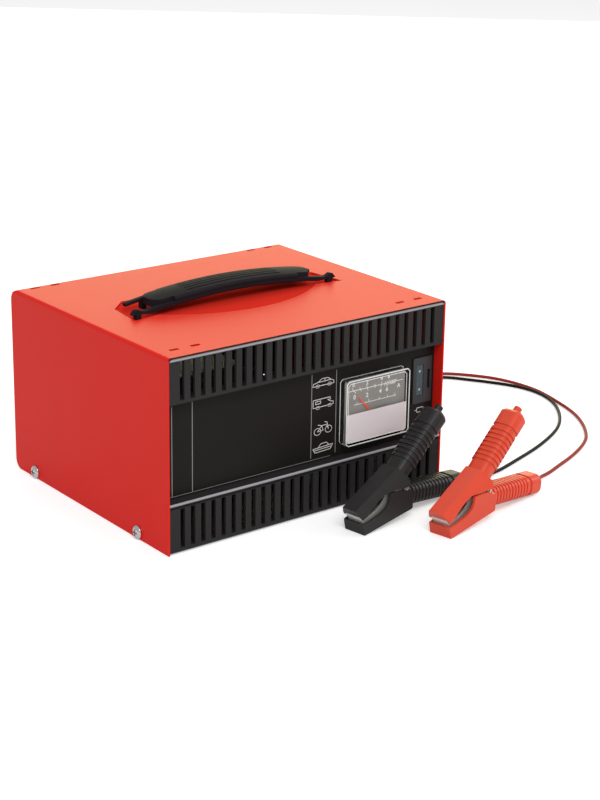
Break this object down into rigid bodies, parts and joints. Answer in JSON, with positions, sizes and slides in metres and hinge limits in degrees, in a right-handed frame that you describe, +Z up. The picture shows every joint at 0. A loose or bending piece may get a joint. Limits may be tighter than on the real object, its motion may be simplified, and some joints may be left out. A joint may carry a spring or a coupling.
{
  "type": "car battery charger",
  "caption": "Bench charger for vehicle batteries: folded steel case with grille panels, ammeter, blade fuse, lift-up handle and two spring clamps on leads.",
  "frame": {"origin": "centre of the case's base, on the surface that the charger stands on", "axes": "+X to the right seen from the front, -Y towards the front with the ammeter, +Z up"},
  "size_m": [0.3708, 0.3013, 0.1268],
  "materials": {
    "red_paint": "gloss powder coat",
    "zinc_sheet": "zinc plated sheet",
    "panel_abs": "fine grained black",
    "label_film": "printed film",
    "screw_chrome": "bright plated",
    "gland_rubber": "matte",
    "handle_abs": "satin black",
    "meter_abs": "satin",
    "clear_styrene": "clear moulding",
    "dial_paint": "grey",
    "frosted_styrene": "frosted",
    "copper_wire": "enamelled copper winding",
    "brass_sheet": "satin",
    "pointer_orange": "matt orange",
    "steel_bright": "bright",
    "holder_nylon": "moulded",
    "tinned_brass": "tin plated",
    "fuse_blue": "translucent blue",
    "zinc_blade": "plated",
    "core_steel": "laminated electrical steel",
    "bobbin_nylon": "natural nylon",
    "heatsink_alloy": "extruded",
    "epoxy_black": "moulded epoxy",
    "cutout_steel": "pressed steel",
    "fr4_green": "solder resist",
    "component_sleeve": "sleeved",
    "block_nylon": "natural nylon",
    "wire_brown": "insulation",
    "wire_yellow": "insulation",
    "wire_red": "insulation",
    "clamp_red_pvc": "soft moulding",
    "jaw_steel": "nickel plated",
    "spring_steel": "drawn wire",
    "clamp_black_pvc": "soft moulding",
    "lead_red_pvc": "soft sheath",
    "lead_black_pvc": "soft sheath",
    "tie_nylon": "nylon"
  },
  "bodies": {
    "charger": {"cover_shell": "red_paint", "base_tray": "zinc_sheet", "front_panel": "panel_abs", "rear_panel": "panel_abs", "front_label": "label_film", "cover_screws": "screw_chrome", "mains_gland": "gland_rubber", "lead_gland": "gland_rubber", "meter_case": "meter_abs", "meter_cover": "clear_styrene", "meter_dial": "dial_paint", "meter_screen": "frosted_styrene", "meter_coil": "copper_wire", "meter_bridge": "brass_sheet", "meter_studs": "brass_sheet", "meter_hairspring": "brass_sheet", "fuse_holder": "holder_nylon", "fuse_contacts": "tinned_brass", "transformer_core": "core_steel", "transformer_bobbin": "bobbin_nylon", "primary_winding": "copper_wire", "secondary_winding": "copper_wire", "transformer_bracket": "zinc_sheet", "transformer_bolts": "steel_bright", "rectifier_heatsink": "heatsink_alloy", "bridge_rectifier": "epoxy_black", "thermal_cutout": "cutout_steel", "control_board": "fr4_green", "board_thyristor": "epoxy_black", "board_components": "component_sleeve", "board_standoffs": "steel_bright", "m3_screws": "steel_bright", "terminal_block": "block_nylon", "mains_wires": "wire_brown", "secondary_wires": "wire_yellow", "output_wires": "wire_red", "red_lower_cover": "clamp_red_pvc", "red_lower_jaw": "jaw_steel", "red_rivet": "jaw_steel", "red_spring": "spring_steel", "black_lower_cover": "clamp_black_pvc", "black_lower_jaw": "jaw_steel", "black_rivet": "jaw_steel", "black_spring": "spring_steel", "red_lead": "lead_red_pvc", "red_lead_coil": "lead_red_pvc", "black_lead": "lead_black_pvc", "black_lead_coil": "lead_black_pvc", "coil_ties": "tie_nylon"},
    "handle": {"handle_grip": "handle_abs", "handle_straps": "handle_abs"},
    "pointer": {"meter_pointer": "pointer_orange", "meter_spindle": "steel_bright"},
    "fuse": {"fuse_body": "fuse_blue", "fuse_blades": "zinc_blade"},
    "red_clamp_upper": {"red_upper_cover": "clamp_red_pvc", "red_upper_jaw": "jaw_steel"},
    "black_clamp_upper": {"black_upper_cover": "clamp_black_pvc", "black_upper_jaw": "jaw_steel"}
  },
  "joints": [
    {"name": "handle_lift", "type": "slide", "parent": "charger", "child": "handle", "axis": [0, 0, 1], "range_m": [0, 0.008]},
    {"name": "pointer_swing", "type": "hinge", "parent": "charger", "child": "pointer", "pos_m": [0.0495, -0.0825, 0.0495], "axis": [0, 1, 0], "range_deg": [0, 80], "stiffness_Nm_per_rad": 0.0001, "springref_deg": -28.65, "deforming": ["meter_hairspring"]},
    {"name": "fuse_pull", "type": "slide", "parent": "charger", "child": "fuse", "axis": [0, -1, 0], "range_m": [0, 0.02]},
    {"name": "red_clamp_open", "type": "hinge", "parent": "charger", "child": "red_clamp_upper", "pos_m": [0.07464, -0.14432, 0.0205], "axis": [-0.1994, 0.9799, 0], "range_deg": [0, 35], "stiffness_Nm_per_rad": 0.4, "springref_deg": -45.84, "deforming": ["red_spring"]},
    {"name": "black_clamp_open", "type": "hinge", "parent": "charger", "child": "black_clamp_upper", "pos_m": [0.03819, -0.11334, 0.0205], "axis": [-0.1564, 0.9877, 0], "range_deg": [0, 35], "stiffness_Nm_per_rad": 0.4, "springref_deg": -45.84, "deforming": ["black_spring"]}
  ]
}
